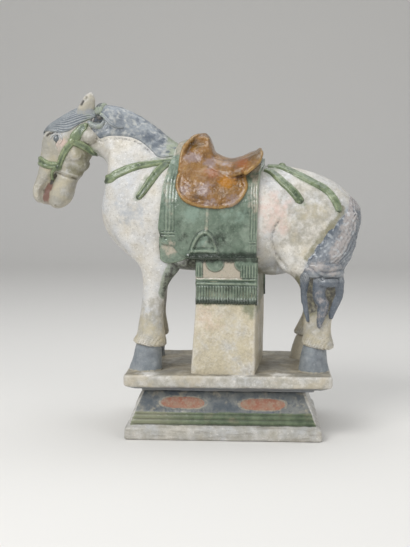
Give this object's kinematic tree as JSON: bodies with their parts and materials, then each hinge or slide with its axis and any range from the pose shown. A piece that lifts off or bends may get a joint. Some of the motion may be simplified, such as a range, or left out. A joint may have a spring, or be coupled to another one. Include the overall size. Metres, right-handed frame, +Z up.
{
  "type": "horse figure",
  "caption": "Glazed terracotta horse with saddle and harness, standing on a slab over a waisted stand.",
  "frame": {"origin": "centre of the stand's underside", "axes": "+Z up, the horse faces -X, +Y is its right side"},
  "size_m": [0.3942, 0.167, 0.4055],
  "materials": {
    "horse": "satin",
    "stand": "satin"
  },
  "bodies": {
    "root": {"horse": "horse", "stand": "stand"}
  },
  "joints": []
}
